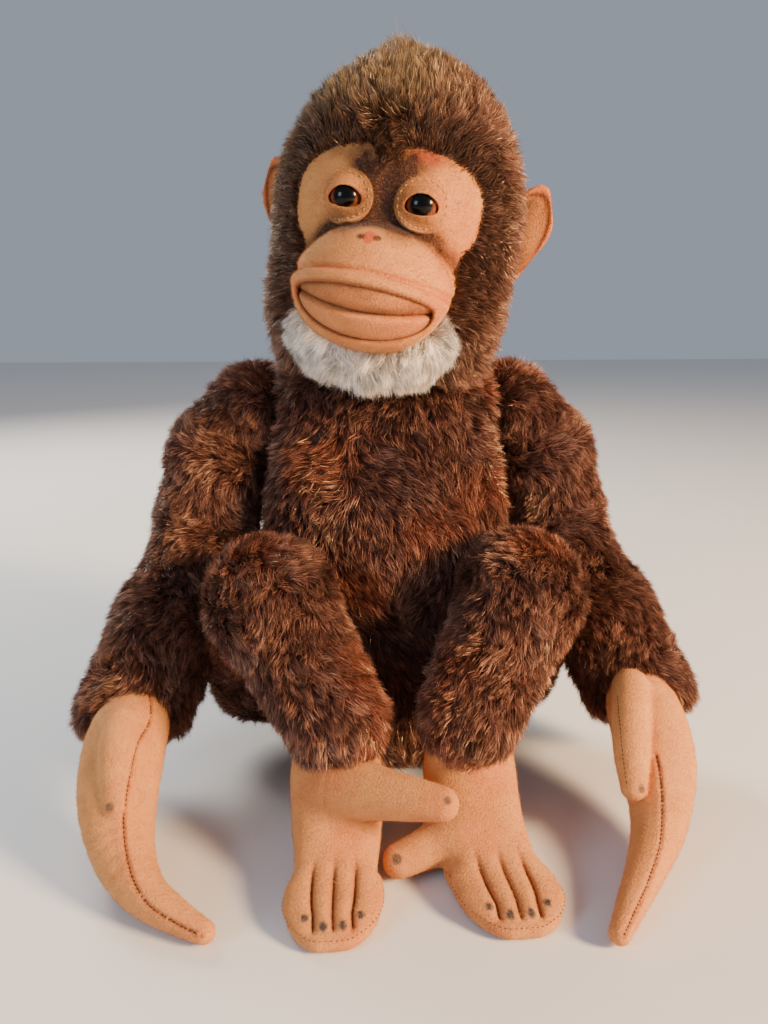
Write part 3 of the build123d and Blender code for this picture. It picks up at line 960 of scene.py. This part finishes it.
def face_paint(points):
    x, y, z = split(points)
    brown, red = np.zeros(len(points)), np.zeros(len(points))
    above = z - crease_height(x)
    # Round the eyes, under them, along the bridge and on the brows
    # Brown beside the eye rings on their inner side: partly airbrushing, partly painted shade beside the raised
    # rings.
    for side in (1, -1):
        off = x - EYE_AT[0] * side
        ring = np.hypot(off, z - EYE_AT[2])
        brown += 1.15 * bell(ring - 11.2, 3.4) * step_up(-off * side, -6, 8)
    under = bell(above - 3.6, 4.4) * step_up(above, -2.5, 0.5)
    brown += 1.1 * under * (1 - 0.6 * step_up(np.abs(x), 16, 33)) * step_up(-y, 26, 34)
    brown += 1.3 * bell(x, 7.2) * step_up(z, 46, 50)
    brow = bell(z - 73.5, 3.0) * step_up(np.abs(x), 5, 9)
    brown += 0.45 * brow * (1 - step_up(np.abs(x), 18, 30))
    red += brow * step_up(x, 3, 7) * (1 - step_up(x, 14, 24))
    brown *= 0.82 + 0.3 * np.clip(0.5 + 0.5 * waves(points, 5.0, 8), 0, 1)
    # Cheeks and the muzzle's fold
    cheek = bell(np.hypot(x - 29, (z - 44) * 0.7), 8)
    red += 0.3 * cheek + 0.35 * under * step_up(x, 8, 20) + 0.10 * step_up(waves(points, 30, 2), 0, 1.5)
    # Lips and the mouth's corners
    mouth = mouth_gap(x, z)
    lip_line = bell(mouth - 4.3, 1.2) * step_up(z, 22, 28) * step_up(-y, 45, 55)
    red += 0.5 * lip_line * (0.6 + 0.4 * np.clip(waves(points, 9, 4), -1, 1))
    # Painted shade: the face's felt behind the mouth is painted dark brown where it shows in the gaps round the
    # mouth.
    brown += 0.6 * step_up(-mouth, 0.2, 1.2) * step_up(-y, 40, 50)
    # At the lip's inner edge: the lip's own red, and brown that is painted shade where the lip meets the mouth.
    inner_lip = bell(mouth + 0.3, 0.9) * step_up(-y, 45, 52)
    red += 0.4 * inner_lip
    brown += 0.5 * inner_lip
    corner = bell(np.hypot(np.abs(x) - MOUTH_HALF, z - MOUTH_CORNER), 4)
    red += 0.4 * corner * step_up(-y, 40, 50)
    # Nose
    across, up = x - NOSE_AT[0], z - NOSE_AT[1]
    on_front = step_up(-y, 50, 56)
    red = np.maximum(red, step_up(1.2 - np.hypot(across / 2.0, up / 2.0), 0, 0.3) * on_front)
    for off in (-NOSTRIL_OFF, NOSTRIL_OFF):
        nostril = np.hypot((across - off) / 1.3, up / 0.9)
        brown = np.maximum(brown, 0.9 * step_up(1.3 - nostril, 0, 0.5) * on_front)
    return np.clip(vector(brown, red, 0), 0, 1)


def make_face():
    def field(points):
        outer = face_field(points)
        slab = smooth_max(outer, -(face_base(points) + 4.5), 0.6)
        felt = smooth_max(slab, face_outline(points[..., 0], points[..., 2]), 1.4)
        for side in (1, -1):
            ball = ellipsoid(points, (EYE_AT[0] * side, *EYE_AT[1:]), (EYE_R + 0.1,) * 3)
            felt = np.maximum(felt, -ball)
        return np.maximum(felt, points[..., 1] + 18)

    form = surface(field, (-38, -86, 0), (38, -16, 82), FACE_STEP)
    _, points, quads = form
    paint = face_paint(points)
    form_piece("face", form, FELT, "head", on_neck, paint, stands_for=("face_felt",))
    outside = (face_field(points) > -0.3) & (mouth_gap(points[:, 0], points[:, 2]) > -1)
    fuzz("face_fuzz", (face_field, points, quads), paint, FIBRES["face"], FELT, "head", 105, on_neck, outside)
    heights = np.arange(NOSE_AT[1] + 7, 68, 0.75)
    zigzag = vector(0.9 * np.sin(np.arange(len(heights)) * math.pi / 2), -75, heights)
    path = touch(face_field, zigzag, (0, 1, 0))
    stitches("bridge_stitches", path, 0.17, BRIDGE_THREAD, "head", on_neck, face_field)


def make_mouth_half(name, sign):
    """The upper (sign 1) or lower (sign -1) half of the mouth."""
    def field(points):
        x, y, z = split(points)
        outer = mouth_field(points)
        slab = np.maximum(outer, -(outer + 3.5))
        half = smooth_max(slab, mouth_gap(x, z) - 1.2, 0.6)
        half = smooth_max(half, (mouth_seam(x) - z) * sign + MOUTH_SEAM_GAP, 0.8)
        return np.maximum(half, y + 30)

    form = surface(field, (-27, -84, 8), (27, -34, 32), MOUTH_STEP)
    _, points, quads = form
    x, _, z = split(points)
    paint = no_paint(points)
    # Brown along the seam between the halves and round their edges under the lips is painted shade in these
    # creases.
    paint[:, 0] = 0.4 * bell(z - mouth_seam(x), 0.7) + 0.25 * bell(mouth_gap(x, z), 1.6)
    # The upper half is darker all over: partly painted shade under the upper lip, partly blotchy brown
    # airbrushing.
    if sign > 0:
        paint[:, 0] += 0.16 + 0.22 * step_up(waves(points, 12, 6), -0.5, 1)
    paint[:, 1] = 0.3 * step_up(x, 5, 22)
    paint = np.clip(paint, 0, 1)
    form_piece(name, form, LIP_FELT, "head", on_neck, paint, stands_for=(f"{name}_felt",))
    outside = mouth_field(points) > -0.3
    plump = (mouth_field, points, quads)
    fuzz(f"{name}_fuzz", plump, paint, FIBRES["mouth"], LIP_FELT, "head", 107, on_neck, outside)


def make_eye(name, side):
    """The felt ring with its lids and stitches, and the glass ball behind it with its wire."""
    centre = np.array((EYE_AT[0] * side, *EYE_AT[1:]))
    open_wide, open_tall = EYE_OPENING

    def ring_field(points):
        x, y, z = split(points)
        away = np.hypot(x - centre[0], z - centre[2])
        face = face_base(points)
        lids = ellipsoid(points, centre, (EYE_R + 1.5, EYE_R + 0.9, EYE_R + 1.0))
        pad = smooth_min(face - 1.0, lids, 3.2)
        pad = smooth_max(pad, -(face + 1.5), 0.5)
        pad = smooth_max(pad, away - RING_R, 1.2)
        u, w = x - centre[0], z - centre[2] + 0.2
        opening = (np.hypot(u / open_wide, (w + 0.02 * u**2) / open_tall) - 1) * open_tall
        pad = smooth_max(pad, -ellipsoid(points, centre, (EYE_R + 0.05,) * 3), 0.3)
        in_front = np.maximum(opening, y - centre[1] + 1)
        return np.maximum(smooth_max(pad, -in_front, 0.8), y + 35)

    form = surface(ring_field, centre - (12, 12, 12), centre + (12, 14, 12), RING_STEP)
    points = form[1]
    away = points - centre
    rim = bell(norm(away / (open_wide, 40, open_tall)) - 1, 0.22)
    corners = step_up(np.abs(away[:, 0]), 3.5, 5.5) * rim
    # The ring takes the face's paint, its painted shade included, at a little over half strength.
    paint = face_paint(points) * 0.55
    paint[:, 0] = np.clip(paint[:, 0] + 0.25 * rim, 0, 1)
    paint[:, 1] = np.clip(paint[:, 1] + 0.2 * rim + 0.4 * corners, 0, 1)
    form_piece(f"{name}_eye_felt", form, FELT, "head", on_neck, paint, stands_for=(f"{name}_eye_ring",))
    outside = (slope(ring_field, points)[:, 1] < -0.3) & (away[:, 1] < 2) & (rim < 0.5)
    fuzz(f"{name}_eye_fuzz", form, paint, FIBRES["eye"], FELT, "head", 109, on_neck, outside)
    turn = np.linspace(0, 2 * math.pi, 90)
    circle = vector(RING_STITCH_R * np.cos(turn), -20, RING_STITCH_R * np.sin(turn))
    path = touch(ring_field, centre + circle, (0, 1, 0))
    stitches(f"{name}_eye_stitches", path, 0.2, EYE_THREAD, "head", on_neck, ring_field,
             dash=1.4, gap=1.0, lift=0.4)

    def glass_field(points):
        ball = ellipsoid(points, centre, (EYE_R,) * 3)
        wire = bone(points, (*(centre + (0, 4, 0)), 0.7), (*(centre + (0, 12.5, 0)), 0.7))
        return smooth_min(ball, wire, 0.8)

    form = surface(glass_field, centre - 6.5, centre + (6.5, 14, 6.5), GLASS_STEP)
    away = form[1] - centre
    rings = np.where(away[:, 1] < 0, np.hypot(away[:, 0], away[:, 2]) / EYE_R, 1.0)
    form_piece(f"{name}_glass_eye", form, EYE_GLASS, "head", on_neck, np.repeat(rings[:, None], 3, axis=1),
               stands_for=(f"{name}_eye",))


def make_ear(name, side):
    sweep = math.radians(EAR_SWEEP)
    centre = np.array((EAR_AT[0] * side, *EAR_AT[1:]))
    wide = np.array((side * math.cos(sweep), math.sin(sweep), 0))
    thick = np.array((side * math.sin(sweep), -math.cos(sweep), 0))

    def own(points):
        """Outward, forward from the dish's surface, and up."""
        off = points - centre
        u, v = off @ wide, off[..., 2]
        return u, off @ thick + 3.4 - 0.022 * (u**2 + v**2 * 0.6), v

    def field(points):
        u, dish, v = own(points)
        narrow = 1 + 0.35 * step_up(v, 4, 18) + 0.45 * step_up(-v, -2, 20)
        edge = (np.hypot((u - EAR_SLANT * v) * narrow / EAR_R[0], v / EAR_R[1]) - 1) * 15
        plate = smooth_max(edge, np.abs(dish) - 1.2, 1.0)
        return smooth_min(plate, np.hypot(edge + 0.8, dish) - 1.55, 0.8)

    form = surface(field, centre - (20, 14, 22), centre + (20, 14, 22), EAR_STEP)
    points = form[1]
    u, dish, v = own(points)
    inner = np.hypot((u - EAR_SLANT * v) / EAR_R[0], v / EAR_R[1])
    facing = step_up(dish, -0.3, 0.6)
    streak = (0.35 + 0.6 * step_up(-u, -7, 0)) * facing * step_up(0.88 - inner, 0, 0.2)
    paint = no_paint(points)
    paint[:, 0] = streak * (0.92 + 0.08 * waves(points, 9, 9)) + 0.75 * facing * bell(inner - 0.86, 0.05)
    paint[:, 1] = 0.40 * facing * step_up(inner, 0.6, 0.9) + 0.15
    paint = np.clip(paint, 0, 1)
    form_piece(f"{name}_felt_ear", form, FELT, "head", on_neck, paint, stands_for=(f"{name}_ear",))
    fuzz(f"{name}_ear_fuzz", form, paint, FIBRES["ear"], FELT, "head", 111, on_neck)


def head_colours(roots):
    """Olive gold on the crown, darker and redder on the left, on the brow and below."""
    x, y, z = split(roots)
    gold = step_up(z + 4 * waves(roots, 26, 14) - 0.55 * x, 30, 100)
    gold = np.clip(gold + 0.35 * step_up(-x, 15, 42), 0, 1) * (1 - 0.75 * step_up(x, 2, 28))
    near_face = beside_felt(x, z, 13) * step_up(-y, 15, 30)
    gold = gold * (1 - 0.9 * near_face)
    shade = 1 - 0.58 * near_face[:, None]
    return (np.broadcast_to(DARK_ROOT, roots.shape), blend_rgb(gold, BODY_MIDDLE, HEAD_MIDDLE * 1.15) * shade,
            blend_rgb(gold, BODY_TIP, HEAD_TIP) * shade)


def beard_region(points):
    """Distance to the edge of the white chin, negative inside."""
    x, y, z = split(points)
    under = z - (8.5 + 0.014 * x**2)
    aside = np.abs(x) - 28 + 0.9 * np.clip(9 - z, 0, 9)
    return np.maximum(np.maximum(under, aside), y + 36)


def make_head():
    def field(points):
        x, y, z = split(points)
        # The backing steps in behind the felt face.
        behind = step_up(-face_outline(x, z), 0.5, 4) * step_up(-y, 12, 20)
        return smooth_max(head_base(points) + 3.5 * behind, 0.5 - z, 3)

    form = surface(field, (-50, -60, -3), (50, 42, 116), BODY_STEP)
    form_piece("head_skin", form, BACKING, "head", on_neck, stands_for=("head_cover", "head_stuffing"))

    def density(p):
        x, y, z = split(p)
        on_face = (face_outline(x, z) < -1.2) & (y < -15)
        return np.where(on_face | (beard_region(p) < 0) | (z < 2.5), 0.0, 1.0)

    def length(p):
        x, y, z = split(p)
        front = step_up(-y, 10, 25)
        crest = bell(np.hypot(x - CREST[0], y - CREST[1]), 8.5) * step_up(z, 93, 107)
        bridge = bell(x, 6) * step_up(88 - z, 0, 8) * front
        short = 0.45 * front * (1 - step_up(face_outline(x, z), 0, 9)) * (1 - bridge)
        return PILE * (1 - short + 1.2 * crest + 0.4 * step_up(14 - z, 0, 10))

    def flow(p):
        x, y, z = split(p)
        turns = swirl(p, 32, 61)
        down = np.array((0, 0.5, -1))
        to_crest = unit(vector(CREST[0] - x, CREST[1] - y, 124 - z))
        top = step_up(z, 74, 92)[:, None]
        way = down * (1 - top) + to_crest * top * 1.2 + vector(x * 0.02, 0.6, 0) + turns * 0.7
        # Round the face the pile grows away from the felt, but on the brow it hangs over the bridge.
        out = unit(vector(face_outline(x + 1, z) - face_outline(x - 1, z), 0.5,
                          face_outline(x, z + 1) - face_outline(x, z - 1)))
        front = step_up(-y, 14, 26)
        by_face = (beside_felt(x, z, 7) * front)[:, None]
        way = way * (1 - by_face) + (out + turns * 0.25) * by_face * 1.6
        over_bridge = (bell(x, 6.5) * step_up(z, 68, 73) * step_up(88 - z, 0, 8) * front)[:, None]
        return way * (1 - over_bridge) + (np.array((0, 0, -1.5)) + turns * 0.25) * over_bridge

    coat = {**COAT, "count": STRANDS["head"], "density": density, "length": length, "flow": flow, "lie": 0.85,
            "colours": head_colours, "tuft": 4.2, "sway": 0.38}
    double_fur("head", form, coat, "head", 61, on_neck)


def make_beard():
    def field(points):
        form = chin_base(points)
        solid = smooth_max(form, beard_region(points), 1.0)
        solid = smooth_max(solid, -(form + 5), 1.0)
        return smooth_max(solid, 0.5 - points[..., 2], 1.0)

    form = surface(field, (-38, -84, -2), (38, -8, 34), BEARD_STEP)
    form_piece("beard_skin", form, WHITE_MOHAIR, "head", on_neck, np.array((0.55, 0.47, 0.38)),
               stands_for=("beard",))

    def density(p):
        return np.where((chin_base(p) > -1.5) & (p[:, 2] > 1.0), 1.0, 0.0)

    def length(p):
        return 7.5 + 4.5 * bell(p[:, 0], 17)

    def flow(p):
        return vector(p[:, 0] * 0.02, -0.1, -1) + 0.4 * swirl(p, 12, 81)

    def colours(roots):
        white = blend_rgb(step_up(waves(roots, 14, 17), -0.5, 1.4), WHITE, CREAM)
        return white * 0.75, white, np.clip(white * 1.1, 0, 0.98)

    coat = {**COAT, "count": STRANDS["beard"], "density": density, "length": length, "flow": flow,
            "lift": 0.7, "lie": 1.0, "colours": colours, "tuft": 2.6, "clump": 0.45, "sway": 0.25,
            "width": 0.8}
    fur("beard_fur", form, coat, WHITE_MOHAIR, "head", 91, on_neck)


# Pieces that stay from the frame ----


def finish_hidden_pieces():
    """Materials for the stuffing and the joints' hardware, which show only where the cloth opens."""
    finishes = {
        "wood_wool": plain_material("wood_wool", (0.60, 0.45, 0.24), (0.42, 0.29, 0.14), 300, 0.85),
        "hardboard": plain_material("hardboard", (0.20, 0.11, 0.06), (0.28, 0.17, 0.10), 900, 0.7),
        "steel": plain_material("steel", (0.56, 0.56, 0.57), (0.40, 0.39, 0.38), 1200, 0.35, 1.0),
    }
    for part in frame["record"]["subparts"]:
        finish = finishes.get(part["material_slot"])
        if finish is not None:
            for slot_of in frame["nodes"][part["node"]].material_slots:
                slot_of.material = finish


# Stage ----


def make_stage():
    mesh = bpy.data.meshes.new("floor")
    corners = [(x * FLOOR_HALF, y * FLOOR_HALF, 0) for x, y in ((-1, -1), (1, -1), (1, 1), (-1, 1))]
    mesh.from_pydata(corners, [], [(0, 1, 2, 3)])
    look = Look("pale_floor")
    look.feed(look.shader, {"Base Color": (0.74, 0.73, 0.72), "Roughness": 0.8})
    mesh.materials.append(look.material)
    floor = bpy.data.objects.new("floor", mesh)
    bpy.context.scene.collection.objects.link(floor)
    floor.location.z = -0.0002


def light(name, place, size, power, colour):
    """A square lamp aimed at the toy's middle."""
    data = bpy.data.lights.new(name, "AREA")
    data.size = size
    data.energy = power
    data.color = colour
    lamp = bpy.data.objects.new(name, data)
    lamp.location = place
    aim = Vector((0, -0.02, 0.14)) - Vector(place)
    lamp.rotation_euler = aim.to_track_quat("-Z", "Y").to_euler()
    bpy.context.scene.collection.objects.link(lamp)


def make_lights():
    light("key", (0.95, -0.70, 0.55), 0.28, 52, (1.0, 0.68, 0.39))
    light("fill", (-0.9, -0.7, 0.5), 0.4, 6.5, (0.70, 0.83, 1.0))
    light("rim", (-0.55, 0.75, 0.75), 0.5, 14, (1.0, 0.93, 0.82))
    world = bpy.data.worlds.new("studio")
    world.use_nodes = True
    sky = world.node_tree.nodes["Background"]
    sky.inputs[0].default_value = (0.74, 0.84, 1.0, 1)
    sky.inputs[1].default_value = 0.40
    bpy.context.scene.world = world


def make_camera():
    """A wide lens a little above the toy, looking down at it from slightly to its right."""
    data = bpy.data.cameras.new("camera")
    data.lens = 28
    data.sensor_width = 36
    camera = bpy.data.objects.new("camera", data)
    away, height, around, down = 0.338, 0.190, math.radians(-5), math.radians(14)
    camera.location = (away * math.sin(around), -away * math.cos(around), height)
    camera.rotation_euler = (math.pi / 2 - down, 0, around)
    bpy.context.scene.collection.objects.link(camera)
    bpy.context.scene.camera = camera


make_camera()
make_torso()
make_arms()
for side_name, side_place in SIDES:
    make_hand(side_name, side_place)
make_legs()
for side_name, side_place in SIDES:
    make_foot(side_name, side_place)
make_head()
make_face()
make_mouth_half("mouth_upper", 1)
make_mouth_half("mouth_lower", -1)
for make_part in (make_eye, make_ear):
    make_part("left", 1)
    make_part("right", -1)
make_beard()
finish_hidden_pieces()
make_stage()
make_lights()
